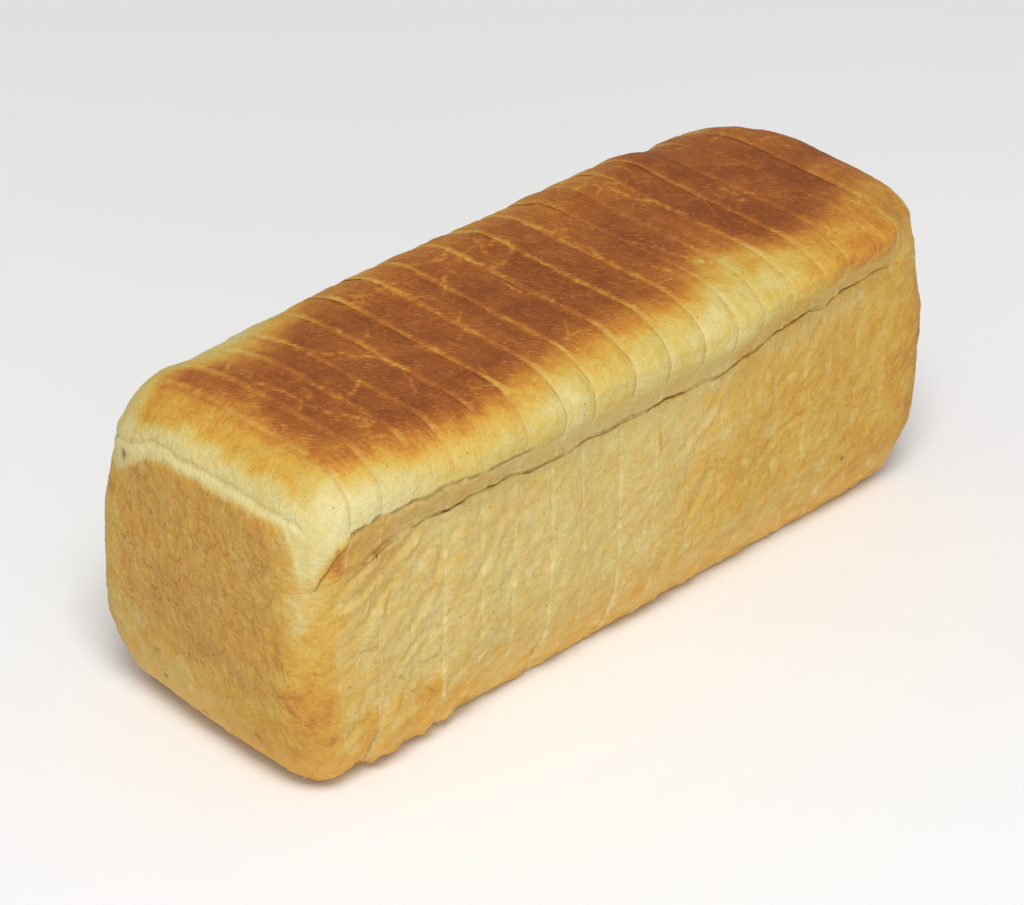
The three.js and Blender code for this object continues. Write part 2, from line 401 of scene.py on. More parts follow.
# How much fuller each piece stands than its neighbours, on the back shoulder and at the front foot, and
# the share of the shoulder's steps that shows at the cuts.
BACK_STEPS = [-1.3, -2.4, -2.4, -2.2, -1.8, -0.7, 0.1, 0.4, 0.8, 0.3,
              0.2, -0.2, 0.7, 1.1, 0.9, 1.4, -1.5, -1.4, -1.1]
FOOT_STEPS = [-0.1, -0.4, 1.1, 0.2, -0.8, -2.2, -2.5, -1.8, -2.5, -1.3,
              -1.2, -1.5, -2.0, -1.7, -2.2, -1.9, -1.8, -1.8, -1.6]
STEP_SHARE = 0.3

# Pits and baked holes, each with its place, radius and depth.
PITS = [((-137, 33.2, 86.2), 1.5, 1.0), ((-138.7, 17.6, 15.6), 0.9, 0.5),
        ((-139, -24.5, 16.6), 0.8, 0.5), ((-136.7, 1.5, 10.2), 1.0, 0.6),
        ((96.8, -48.4, 23.8), 0.8, 0.8), ((-97.6, -48.5, 61.9), 0.35, 0.2),
        ((-112.2, -48.4, 73.9), 0.35, 0.2), ((-73.4, -48.0, 81.4), 0.3, 0.2),
        ((-64.4, -48.3, 77.1), 0.3, 0.2), ((-53.2, -49.1, 63.1), 0.4, 0.2),
        ((-50.5, -49.2, 60.4), 0.3, 0.2), ((-123.3, -48.6, 55.7), 0.3, 0.2)]

# How each cut shows: pale crumb on the lid side, partly a painted highlight on its lit edge, painted shade
# in the gap on the lid side, painted shade in the gap on the shoulder, and pale crumb down the front wall,
# each from 0 to 1.
CUT_LOOKS = np.array([
    (0.0, 0.1, 0.35, 0.1), (0.7, 0.1, 0.0, 0.3), (0.8, 0.2, 0.0, 0.3), (0.7, 0.5, 0.05, 1.0),
    (0.8, 0.8, 0.1, 0.5), (0.9, 1.0, 0.2, 0.6), (0.8, 0.6, 0.5, 1.0), (1.0, 0.7, 0.6, 0.6),
    (0.8, 0.6, 0.7, 1.0), (1.0, 0.7, 0.8, 0.4), (0.7, 0.4, 0.6, 0.3), (0.5, 0.4, 0.7, 0.25),
    (0.5, 0.3, 0.6, 0.4), (0.8, 0.6, 0.5, 0.5), (0.8, 1.0, 0.5, 0.6), (0.4, 0.4, 0.5, 0.6),
    (0.3, 0.2, 0.0, 0.4), (0.2, 1.0, 0.3, 0.5)])


def form_relief(crust):
    """Where the piece stands fuller or slacker than the even bar of dough."""
    p, (x, y, z) = crust.at, crust.at.T
    move = 0.35 * grain(p, 25, 15)
    for place, reach, far in SWELLS:
        move += far * np.exp(-(((p - place) / reach) ** 2).sum(1))
    shoulder = smooth(y, 8, 30) * smooth(z, 84, 100)
    on_front = smooth(-y, 25, 38)
    foot = on_front * smooth(z, 0.3, 3) * (1 - smooth(z, 10, 30))
    ragged_foot = on_front * smooth(z, 0.3, 2) * (1 - smooth(z, 4, 13))
    move += (1.3 * grain(p, (6, 9, 7), 16) + 0.7 * grain(p, 1.8, 17)) * ragged_foot
    middles = [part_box(name)[0].lerp(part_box(name)[1], 0.5).x / MM for name in NAMES]
    even, own = np.interp(x, middles, BACK_STEPS), BACK_STEPS[crust.number]
    return move + shoulder * mix(even, own, STEP_SHARE) + foot * FOOT_STEPS[crust.number]


def wall_relief(crust):
    """Pillowy lumps between soft creases that run aslant, a few folds and cracks, and a fine grain."""
    p, x, z = crust.at, crust.at[:, 0], crust.at[:, 2]
    crust.scaly = mix(0.5, 1, (1 - smooth(x, -75, -25)) * smooth(x, -136, -126))
    warped = p + 1.6 * crust.ragged[:, None]
    pillows = np.sqrt(grain(turned(warped, 46), (13, 20, 5.4), 9) ** 2 + 0.001)
    dimples = np.sqrt(grain(turned(warped, 15), (5, 9, 3.6), 6) ** 2 + 0.001)
    lumps = 0.6 * grain(p, 17) + 0.55 * grain(p, 7, 3) + 0.8 * pillows + 0.7 * dimples - 0.4
    crust.fine = 0.24 * grain(p, 2.6, 8) + 0.17 * grain(p, 1.3, 5)
    u, v = x + 1.2 * grain(p, 5, 7), z + 1.2 * grain(p, 5, 8)
    on_front = crust.front * crust.wall
    crust.folds = strokes(u + 0.4, v - 0.4, FOLDS, 1.1) * on_front
    fold_lips = strokes(u - 1.4, v + 1.4, FOLDS, 1.7) * on_front
    crackle = bump(grain(warped, (5, 9, 3.4), 26), 0, 0.05) * smooth(grain(p, 9, 27), 0, 0.35)
    crackle *= smooth(grain(p, 2.5, 28), -0.2, 0.3) * crust.scaly * crust.wall
    cracks = strokes(u, v, CRACKS, 0.5) * on_front * smooth(grain(p, 3, 57), -0.3, 0.2)
    crust.cracks = np.maximum(cracks, 0.8 * crackle)
    move = crust.scaly * lumps + crust.fine + 0.1 * SLICE_TRAITS[crust.number, 2]
    move += 0.5 * fold_lips - 0.45 * crust.folds - 0.35 * crust.cracks
    return crust.wall * (1 - crust.end) * move


def tear_relief(crust):
    """A ragged groove with a raised edge below it, and a strip of stretched crust up to the lip."""
    p = crust.at
    edge = bump(crust.rise + 1.3 * crust.ragged, -3.5, 2.2) * crust.tear_open * smooth(p[:, 0], -112, -88)
    ridge = bump(crust.past_cut, 0.5, 0.8)
    stretched = 0.35 * grain(turned(p, 35), (9, 9, 3), 3) + crust.fine + 0.35 * ridge
    return (0.7 * edge * smooth(grain(p, 11, 12), -0.4, 0.5) - 0.6 * crust.tear - 0.5 * crust.lip_crack
            + crust.strip * stretched)


def top_relief(crust):
    """Soft waves and streaks on the shoulder, and a lid side pressed flat but for small steps."""
    p = crust.at
    first, second = SLICE_TRAITS[crust.number, :2]
    waves = 0.45 * grain(p, 12, 2) + 0.3 * grain(p, (4, 9, 9), 3) + 0.12 * grain(p, 2.2, 6)
    flat = 0.14 * grain(p, 18, 5) + 0.07 * grain(p, 2.2, 7)
    return crust.shoulder * (waves + 0.18 * first) + crust.lid * (flat + 0.07 * second)


def end_relief(crust):
    """The heel's face: a crease under the shoulder, a ridge below it, and fine wrinkles."""
    p, crease = crust.at, crust.crease
    warped = p + 1.6 * crust.ragged[:, None]
    wrinkles = bump(grain(warped, (9, 2.4, 5), 21), 0, 0.07) * smooth(grain(p, 9, 22), 0.0, 0.35)
    crust.end_wrinkles = wrinkles * smooth(grain(p, 3, 23), -0.25, 0.25) * crust.end * crust.wall
    face = 0.45 * grain(p, 16, 13) + 0.25 * grain(p, (5, 4, 8), 11) + 0.9 * crust.fine
    face += 0.42 * np.sqrt(grain(warped, (9, 3.4, 5), 24) ** 2 + 0.001)
    move = crust.end * crust.wall * face - 0.2 * crust.end_wrinkles
    uneven = 0.7 + 0.9 * grain(p, 9, 25)
    fold = 0.6 * bump(crease, 3.4, 2.8)
    fold += uneven * (0.25 * bump(crease, -2, 1.5) - 0.35 * bump(crease, 0, 0.6))
    flap = crust.tip * smooth(crust.over + 0.6 * crust.ragged, -3.6, -2.2)
    return move + crust.creased * fold + 0.6 * flap - 0.4 * crust.tip_crack


def cut_relief(crust):
    """Cut edges: a little rounded, here and there crumbly or standing open, and notched at the foot."""
    p, z = crust.at, crust.at[:, 2]
    aside = np.abs(crust.past_cut)
    lid_pale, lid_dark, shoulder_dark, wall_pale = CUT_LOOKS[crust.cut].T
    rounding = 0.12 - 0.06 * crust.shoulder + 0.1 * crust.ragged
    rounding += 0.26 * shoulder_dark * crust.shoulder + 0.2 * lid_dark * crust.lid
    rounding = np.clip(rounding, 0.04, 0.8)
    inside = np.clip(1 - aside / rounding, 0, 1)
    broken = 0.55 + 1.1 * grain(p, (300, 7, 7), 31) + 0.8 * grain(p, (300, 2.2, 2.2), 32)
    broken = np.clip(mix(broken - 0.28 * crust.wall, 0.95, 0.5 * crust.lid), 0, 1.2)
    # The pale crumb rim on the cut's far side, partly a painted highlight on its lit edge, and the painted
    # shade in the gap on its near side.
    crust.crumb = broken * np.clip(
        crust.lid * lid_pale + crust.shoulder * (0.3 + 0.5 * shoulder_dark) + 0.4 * crust.strip
        + crust.wall * np.where(crust.front, wall_pale, 0.35), 0, 1)
    dark = crust.lid * lid_dark + crust.shoulder * shoulder_dark
    crust.gap = np.clip(dark + 0.15 * crust.strip + 0.08 * crust.wall, 0, 1)
    crust.gap *= np.clip(0.55 + 1.4 * grain(p, (300, 9, 9), 33) + 0.7 * grain(p, (300, 2.5, 2.5), 34), 0, 1)

    # Crumb stands proud on the cut's far side, and the crust dips on its near side.
    proud = 0.4 * crust.crumb * bump(crust.past_cut, 0.55, 0.6) * (1 - 0.5 * crust.lid)
    dip = 0.22 * dark * bump(crust.past_cut, -0.7, 0.7)
    foot = smooth(z, 0.3, 2) * (1 - smooth(z, 8, 18))
    notch = 1.5 * np.exp(-(aside / 1.5) ** 2) * (0.5 + 0.6 * SLICE_TRAITS[crust.cut, 3])
    on_side = crust.shoulder * smooth(np.abs(crust.across), 25, 40)
    pillow = (0.15 + 0.5 * shoulder_dark) * (1 - np.clip(aside / 6.5, 0, 1)) ** 2 * on_side
    return proud - dip - rounding * (1 - np.sqrt(1 - inside ** 2)) - foot * notch - pillow


TEAR_FILL = 3.1       # how far the stretched crust stands out of the open tear

for crust in crusts:
    find_regions(crust)
    move = form_relief(crust) + wall_relief(crust) + tear_relief(crust)
    move += top_relief(crust) + end_relief(crust) + cut_relief(crust)
    crust.pits = np.zeros(len(move))
    for place, radius, depth in PITS:
        pit = np.exp(-(np.linalg.norm(crust.at - place, axis=1) / radius) ** 2)
        move -= depth * pit
        crust.pits = np.maximum(crust.pits, pit)
    moved = crust.at + crust.normal * move[:, None]
    moved[:, 1] -= TEAR_FILL * tear_share(crust.at[:, 0]) * bump(crust.rise, 0.6, 3.6) * crust.front
    moved[:, 2] = np.maximum(moved[:, 2], 0)
    crust.place(moved)


# ---- Browning ----
# The lid lay on the dough, so that side browned darkest, in a patch with an uneven, flaming edge. The
# shoulder stayed pale, and the walls toasted a little, most at the foot, at the corners and at heel B.

# Where the browning starts to fade, at the front and the back: X, and how far across the crust.
FRONT_FADE = np.array([
    (-145, 32), (-114, 37.5), (-102, 39), (-90, 41.5), (-78, 45), (-66, 40), (-54, 37.5), (-30, 35), (-6, 33),
    (18, 35), (30, 29), (40, 24), (47, 22), (54, 26), (66, 34), (78, 37), (90, 34), (102, 30), (114, 25),
    (145, 20)])
BACK_FADE = np.array([
    (-145, 22), (-116, 24), (-104, 18), (-90, 18), (-78, 25), (-66, 27), (18, 27), (30, 25), (42, 32),
    (54, 20), (66, 27), (78, 36), (90, 38), (102, 34), (114, 24), (145, 20)])
# How brown it still is, that many mm past where the fading starts.
FADE = np.array([
    (-10, 0.93), (-4, 0.87), (0, 0.8), (4, 0.68), (8, 0.55), (12, 0.43), (16, 0.32), (20, 0.24), (26, 0.18),
    (40, 0.12)])
# How brown it is at most, by X, towards heel A.
NEAR_FADE = np.array([
    (-150, 0.38), (-136, 0.45), (-128.5, 0.49), (-125.5, 0.57), (-122, 0.73), (-118, 0.88), (-112, 1.1)])


def find_brown(crust):
    """How brown the lid side and the shoulder are, from 0, pale cream, to 1, dark brown."""
    x, y, z = crust.at.T
    p, trait = crust.at, SLICE_TRAITS[crust.number]
    heel_a, heel_b = crust.heel < 0, crust.heel > 0
    flame = 1.9 * grain(p, (4.5, 14, 14), 41) + 1.2 * grain(p, (2.0, 9, 9), 42) + 1.8 * grain(p, 12, 43)
    drop = 0.9 * np.maximum(HEIGHT - z, 0)
    past_front = drop - y - np.interp(x, *FRONT_FADE.T) + 1.2 * trait[0] + 3 * heel_a
    slow = smooth(x, -85, -55)
    past_back = (drop + y - np.interp(x, *BACK_FADE.T) + trait[1]) * mix(1, 0.45, slow)
    past_back = mix(past_back, drop + y - 27, 1 - smooth(x, -122, -112))
    brown = np.interp(np.maximum(past_front, past_back) + 0.75 * flame, *FADE.T)

    # Towards heel A it stays paler. The front shoulder keeps a little brown, most towards heel B.
    near = np.interp(x - 0.9 * flame, *NEAR_FADE.T) - 0.16 * smooth(-y, 12, 42)
    brown = np.minimum(brown, mix(1, near, 1 - smooth(x, -116, -110)))
    yellow_patch = 0.2 * bump(x, 48, 9) * (1 - smooth(drop - y, 42, 50))
    brown = np.maximum(brown, (0.2 + 0.34 * smooth(x, 36, 96) + yellow_patch) * smooth(-y, 0, 20))

    # Patches and slices that came out browner or paler.
    brown += 0.07 * bump(past_front, -8, 4) * (bump(x, -58, 14) + bump(x, 90, 25)) - 0.07 * bump(x, -40, 5)
    brown -= 0.12 * bump(x, 54, 7) * bump(y, -17, 7) + 0.12 * bump(x, -76, 9) * bump(y, 0, 9)
    brown += 0.07 * trait[2] * smooth(brown, 0.6, 0.9) + 0.08 * grain(p, 22, 44) + 0.08 * grain(p, 6, 45)

    # Heel B's front half, the front shoulder at both ends, and the crust above the crease.
    brown = mix(brown, np.minimum(brown, 0.72 + 0.22 * smooth(y, -14, -4)), heel_b)
    brown = mix(brown, 0.03, bump(x, -124, 20) * smooth(-y, 34, 46) * (1 - smooth(z, 100, 111)))
    brown -= 0.15 * smooth(x, 100, 118) * smooth(-y, 30, 44) * (1 - smooth(z, 94, 107))
    return mix(brown, 0.1, crust.creased * (1 - smooth(crust.crease + 0.7 * crust.ragged, 1.5, 8.5)))


# Patches more or less toasted than what's round them: place, reach along X, Y and Z, and how much.
STAINS = [((-129.6, -48, 84), (3, 12, 6), 0.36), ((4.4, -50, 69), (0.9, 9, 6), 0.4),
          ((-138.4, -41.5, 68), (2.6, 3.5, 9), -0.3), ((-138, 33, 74), (8, 7, 7), 0.22),
          ((-141, 20, 82), (5, 2, 5), 0.2), ((-141, -26, 22), (7, 8, 14), 0.12)]

# How toasted the walls are by X, how much more at their foot, and heel A's edges by height.
WALL_TOAST = np.array([
    (-142, 0.66), (-128, 0.6), (-118, 0.47), (-100, 0.42), (-60, 0.45), (-40, 0.4), (0, 0.43), (14, 0.46),
    (22, 0.58), (40, 0.66), (80, 0.66), (100, 0.69), (119, 0.74), (135, 0.88)])
FOOT_TOAST = np.array([
    (-142, 0.26), (-118, 0.3), (-100, 0.28), (-78, 0.16), (-60, 0.04), (-45, 0.05), (-20, 0.12), (0, 0.14),
    (20, -0.08), (40, -0.08), (60, -0.16), (80, -0.1), (100, 0), (142, -0.05)])
EDGE_TOAST = np.array([(0, 0.75), (12, 0.78), (21, 0.84), (33, 0.84), (48, 0.77), (62, 0.68), (84, 0.54)])


def find_toast(crust):
    """How toasted the walls and ends are, from 0, pale, to 1, orange-brown."""
    x, y, z = crust.at.T
    p = crust.at
    foot = 1 - smooth(z + 5 * grain(p, (7, 14, 14), 51), 14, 33)
    toast = np.interp(x + 3 * crust.ragged - 0.2 * (z - 50), *WALL_TOAST.T)
    toast += foot * np.interp(x, *FOOT_TOAST.T)
    toast -= 0.1 * smooth(x, 10, 30) * (1 - smooth(x, 100, 120)) * smooth(z, 66, 86)

    # Heel A's face, and the edge where it meets the front wall.
    edge = crust.end * smooth(-y, 32, 42) + (1 - crust.end) * (1 - smooth(x, -132, -126))
    face = mix(0.68, mix(0.56, 0.68, smooth(-y, 8, 26)), foot)
    face -= 0.3 * smooth(y, 30, 42) * smooth(z, 76, 88) + 0.06 * smooth(y, 10, 34)
    near_end = mix(face, np.interp(z, *EDGE_TOAST.T), edge)
    toast = mix(toast, near_end, np.maximum(crust.end, edge) * (crust.heel < 0))

    # Pale blotches, stains and a streaky foot.
    blotches = smooth(grain(p, 8, 54), 0.12, 0.5) * mix(0.4, 1, crust.scaly) * smooth(z, 22, 36)
    toast -= 0.16 * blotches * (1 - crust.end)
    for place, reach, much in STAINS:
        toast += much * np.exp(-(((p - place) / reach) ** 2).sum(1))
    toast += 0.3 * grain(p, (6, 9, 4), 56) * (1 - smooth(z, 14, 34)) * (1 - crust.end)
    toast = np.where(crust.heel > 0, np.minimum(toast, 0.88 + 0.1 * grain(p, 9, 57)), toast)
    return toast + 0.1 * grain(p, 20, 52) + mix(0.1, 0.17, crust.end) * grain(p, 6, 53)


def find_tan(crust):
    """Where the crust is a dull tan: the middle of the heels' faces, and the strip below the lip."""
    x, y, z = crust.at.T
    tan = crust.end * smooth(94 - z + 2 * crust.ragged, 0, 3)
    tan *= 1 - smooth(np.abs(y + 2 + 4 * crust.ragged), 28, 40)
    tan *= smooth(z + 8 * grain(crust.at, 12, 55), 24, 44)
    high_wall = smooth(z, 66, 80) * smooth(x, -130, -124) * (1 - smooth(x, -112, -96))
    high_wall *= crust.wall * crust.front
    return tan + mix(0.6, 0.15, smooth(x, -95, -50)) * crust.strip + 0.8 * high_wall


def find_lid_cracks(crust, spots):
    """The pale lines where the lid side's crust cracked as it cooled."""
    x, y = crust.at[:, 0], crust.at[:, 1]
    u, v = x + 1.5 * grain(crust.at, 5, 7), y + 1.5 * grain(crust.at, 5, 8)
    patches = flakes(np.stack([u, v, 0 * u], 1), (15, 17, 50), 3)
    network = bump(patches, 0, 0.045) * smooth(grain(crust.at, 16, 63), 0, 0.3)
    cracks = np.maximum(strokes(u, v, LID_CRACKS, 0.8), 0.9 * network) * crust.lid
    return cracks * np.clip(0.55 + 1.3 * grain(crust.at, 1.8, 62) + 0.6 * spots, 0, 1)


for crust in crusts:
    spots = grain(crust.at, 8, 61)
    # Painted shade: the tear, the heels' crease and the wall's folds are darkened where shade falls in them.
    # The cracks and pits are darkened partly for their own colour and partly as painted shade.
    tear_shade = crust.tear * mix(0.35, 0.8, bump(crust.at[:, 0], -80, 24) + smooth(spots, 0.1, 0.5))
    darkest = np.maximum.reduce([
        0.6 * tear_shade, 0.75 * crust.lip_crack, 0.8 * crust.tip_crack, crust.pits, 0.3 * crust.cracks,
        0.12 * crust.folds, 0.32 * bump(crust.crease, 0, 0.4) * crust.creased])
    crust.masks = dict(
        brown=find_brown(crust) - 0.32 * find_lid_cracks(crust, spots),
        toast=find_toast(crust),
        tan=find_tan(crust),
        below_lip=crust.below_lip,
        crumb=crust.crumb,
        gap=crust.gap,
        past_cut=crust.past_cut,
        wrinkle=crust.end_wrinkles,
        dark=np.clip(darkest, 0, 1),
        # The ridge under the heels' crease: pale crust, partly a painted highlight.
        pale=0.45 * bump(crust.crease, -1.8, 1.4) * crust.creased)


# ---- Crust and crumb ----
# The crust is a dry, matt skin, freckled with toasted spots and dusty with flour. The cuts show as
# broken lines of pale crumb, partly a painted highlight, with painted shade in the gap beside them.
# The crumb inside is white and full of pores.

class Signal:
    """One output of a material's nodes. Sums on it add Math nodes."""

    def __init__(self, tree, socket=None):
        self.tree = tree
        self.socket = socket

    def node(self, kind, settings=(), inputs=(), output=0):
        """One output of a new node, with these settings and these values or links at its inputs."""
        made = self.tree.nodes.new(kind)
        for name, value in dict(settings).items():
            if name == "stops":
                while len(made.color_ramp.elements) < len(value):
                    made.color_ramp.elements.new(1)
                for element, (place, colour) in zip(made.color_ramp.elements, value):
                    element.position = place
                    element.color = colour
            else:
                setattr(made, name, value)
        for name, value in dict(inputs).items():
            if isinstance(value, Signal):
                self.tree.links.new(value.socket, made.inputs[name])
            else:
                made.inputs[name].default_value = value
        return Signal(self.tree, made.outputs[output])

    def link(self, source, target):
        self.tree.links.new(source.socket, target)

    def math(self, operation, *values):
        return self.node("ShaderNodeMath", {"operation": operation}, enumerate(values))

    def size(self):
        return self.math("ABSOLUTE", self)

    def __add__(self, other):
        return self.math("ADD", self, other)

    def __sub__(self, other):
        return self.math("SUBTRACT", self, other)

    def __rsub__(self, other):
        return self.math("SUBTRACT", other, self)

    def __mul__(self, other):
        return self.math("MULTIPLY", self, other)

    __radd__ = __add__
    __rmul__ = __mul__

    def step(self, low, high):
        """0 below the low value and 1 above the high one, smooth between."""
        return self.node("ShaderNodeMapRange", {"interpolation_type": "SMOOTHSTEP"},
                         {0: self, 1: low, 2: high, 3: 0.0, 4: 1.0})

    def colours(self, first, second, share):
        """The first colour turned into the second by that share."""
        return self.node("ShaderNodeMix", {"data_type": "RGBA"}, {0: share, 6: first, 7: second}, output=2)

    def blend(self, other, share):
        return self.colours(self, other, share)


def shade(red, green, blue):
    """A colour as seen, in steps of 255, as the light it sends back."""
    seen = np.array([red, green, blue]) / 255
    return (*np.where(seen > 0.04045, ((seen + 0.055) / 1.055) ** 2.4, seen / 12.92), 1.0)


# Crust from pale to brown, on the lid side and shoulder, and on the walls and ends.
LID_BROWNS = [
    (0, shade(214, 203, 147)), (0.12, shade(210, 192, 125)), (0.28, shade(206, 177, 90)),
    (0.42, shade(205, 158, 62)), (0.58, shade(192, 127, 46)), (0.74, shade(168, 98, 37)),
    (0.88, shade(151, 83, 30)), (1, shade(132, 69, 25))]
WALL_TOASTS = [
    (0, shade(214, 198, 140)), (0.25, shade(207, 186, 120)), (0.45, shade(205, 177, 106)),
    (0.6, shade(203, 167, 82)), (0.75, shade(200, 153, 62)), (0.88, shade(190, 135, 58)),
    (1, shade(168, 112, 50))]
PALE_SPOT = shade(216, 197, 146)
OLIVE = shade(194, 166, 92)
TAN = shade(189, 141, 67)
FLECK = shade(158, 100, 48)
# Painted light: a paler gold at the foot, standing in for light bounced up from the floor.
FOOT_BOUNCE_LIGHT = shade(238, 184, 92)
# Pale crust on the ridge under a heel's crease, partly a painted highlight where the ridge catches the light.
PALE_RIDGE_AND_HIGHLIGHT = shade(226, 213, 152)
# Dark brown of cracks, pits and pores, also painted as shade in the tear, the crease and the folds.
CRACK_AND_SHADE = shade(118, 76, 36)
SPECK = shade(222, 176, 120)
# Painted shade in the gap of a cut, where the crust is pale and where it's brown.
SLIT_SHADE = shade(160, 126, 66)                # the gap of a cut, where the crust is pale
LID_SLIT_SHADE = shade(106, 58, 28)             # and where it's brown
CRUMB = shade(229, 212, 150)
PORE = shade(214, 194, 142)
CUT_LID = shade(150, 92, 40)              # crust that is cut through, at the lid side
CUT_WALL = shade(218, 194, 130)           # and at the walls


def new_material(name, roughness):
    """A material, a Signal of its nodes, its coordinates in mm, and its shader."""
    material = bpy.data.materials.new(name)
    material.use_nodes = True
    shader = material.node_tree.nodes["Principled BSDF"]
    shader.inputs["Roughness"].default_value = roughness
    shader.inputs["Specular IOR Level"].default_value = 0.22
    tree = Signal(material.node_tree)
    metres = tree.node("ShaderNodeTexCoord", output="Object")
    place = tree.node("ShaderNodeVectorMath", {"operation": "SCALE"}, {0: metres, "Scale": 1 / MM})
    return material, tree, place, shader


def noise_at(tree, place, size, detail=2.0, stretch=(1, 1, 1)):
    """Noise of about this size in mm, from -1 to 1. A stretch of 3 makes it three times as long."""
    scale = tuple(1 / (size * s) for s in stretch)
    spot = tree.node("ShaderNodeVectorMath", {"operation": "MULTIPLY"}, {0: place, 1: scale})
    value = tree.node("ShaderNodeTexNoise", (), {"Vector": spot, "Scale": 1.0, "Detail": detail})
    return (value - 0.5) * 2.6


def spots_at(tree, place, each_mm, inner, outer):
    """1 inside round spots, of which there are so many to each mm, and 0 round them."""
    cells = tree.node("ShaderNodeTexVoronoi", {"feature": "F1"}, {"Vector": place, "Scale": each_mm})
    return 1 - cells.step(inner, outer)


def crust_material(name):
    """Crust, coloured by the masks of its mesh and by a grain of its own."""
    material, tree, place, shader = new_material(name, 0.62)
    brown, toast, tan, below_lip, crumb, gap, past_cut, wrinkle, dark, pale = (
        tree.node("ShaderNodeAttribute", {"attribute_name": mask}, output="Fac")
        for mask in "brown toast tan below_lip crumb gap past_cut wrinkle dark pale".split())
    aslant = tree.node("ShaderNodeVectorRotate", {"rotation_type": "Z_AXIS"}, {0: place, "Angle": 0.8})
    mottle = noise_at(tree, place, 7, 4)
    blotch = noise_at(tree, place, 3.2, 3)
    fleck = noise_at(tree, place, 1.5, 2)
    dust = noise_at(tree, place, 0.6)
    streak = noise_at(tree, place, 1.4, 2, stretch=(1, 9, 9))
    scratch = noise_at(tree, aslant, 0.5, 2, stretch=(7, 1, 7))
    dash = (mottle + noise_at(tree, aslant, 0.45, 0, stretch=(4, 1, 4))).step(0.3, 0.7)
    on_brown = brown.step(0.5, 0.8)

    # Each cut's rim of pale crumb on its far side, partly a painted highlight on its lit edge, and the
    # painted shade in the gap beside it.
    beside = past_cut + 0.28 * blotch + 0.22 * fleck
    rim = crumb * (1 - (beside - 0.8).size().step(0.3, 1.6 + 0.6 * on_brown))
    shadow = gap * (1 - (beside + 0.3).size().step(0.1, 0.7))

    # The lid side and the shoulder.
    tone = brown + 0.09 * mottle + 0.07 * blotch + 0.07 * fleck + 0.08 * dust + 0.05 * streak
    tone = tone + on_brown * (0.22 * shadow - 0.2 * scratch.step(0.25, 0.6) - 0.16 * dash)
    tone = tone - rim * (0.13 + 0.17 * on_brown)
    top = tree.node("ShaderNodeValToRGB", {"stops": LID_BROWNS}, {0: tone})

    # The walls and the ends.
    patchy = 1 - 0.55 * toast.step(0.5, 0.7)
    uneven = patchy * (0.14 * mottle + 0.18 * blotch) + 0.13 * fleck + 0.12 * dust
    side = tree.node("ShaderNodeValToRGB", {"stops": WALL_TOASTS}, {0: toast + uneven})
    side = side.blend(PALE_SPOT, (blotch + mottle).step(0.2, 1.0) * (1 - toast.step(0.5, 0.72)) * 0.7)
    side = side.blend(OLIVE, (fleck - blotch).step(0.35, 1.1) * 0.5)
    side = side.blend(TAN, tan * (0.45 + 0.5 * (mottle + blotch).step(-0.5, 0.7)))
    freckled = tan * (fleck + 0.7 * blotch + 0.6 * dust).step(0.25, 0.95)
    side = side.blend(FLECK, 0.6 * (wrinkle + freckled))
    # Painted light: the foot is lightened towards the base, standing in for light bounced up from the floor.
    height_up = tree.node("ShaderNodeSeparateXYZ", (), {0: place}, output=2)
    side = side.blend(FOOT_BOUNCE_LIGHT, (1 - height_up.step(2, 27)) * (0.5 + 0.3 * blotch + 0.3 * fleck))

    # Ridges, partly with a painted highlight; cuts, with painted shade in their gaps; cracks, with painted
    # shade in the tear, creases and folds; pores and specks on both.
    colour = top.blend(side, below_lip)
    colour = colour.blend(PALE_RIDGE_AND_HIGHLIGHT, pale * (1 - 0.75 * on_brown))
    colour = colour.blend(SLIT_SHADE, shadow * (1 - on_brown) * 0.75)
    colour = colour.blend(CRUMB, rim * (0.2 + 0.6 * below_lip) * (1 - on_brown) * (1 + 0.6 * fleck))
    colour = colour.blend(LID_SLIT_SHADE, shadow * on_brown * 0.6)
    colour = colour.blend(CRACK_AND_SHADE, dark * (0.85 + 0.2 * fleck) + 0.5 * spots_at(tree, place, 0.13, 0.03, 0.07))
    speck = spots_at(tree, place, 0.33, 0.05, 0.12)
    colour = colour.blend(SPECK, speck * on_brown * mottle.step(-0.1, 0.3) * 0.6)
    tree.link(colour, shader.inputs["Base Color"])

    height = 0.16 * fleck + 0.11 * dust + 0.18 * blotch + 0.05 * on_brown * scratch.step(0.3, 0.8)
    bumps = tree.node("ShaderNodeBump", (), {"Height": height, "Distance": MM, "Strength": 1.0})
    tree.link(bumps, shader.inputs["Normal"])
    return material


# On the cut faces, the shoulders' arc: how far out it starts, how far across and how high it reaches.
ARC_START, ARC_ACROSS, ARC_HIGH = 23, 27, 19


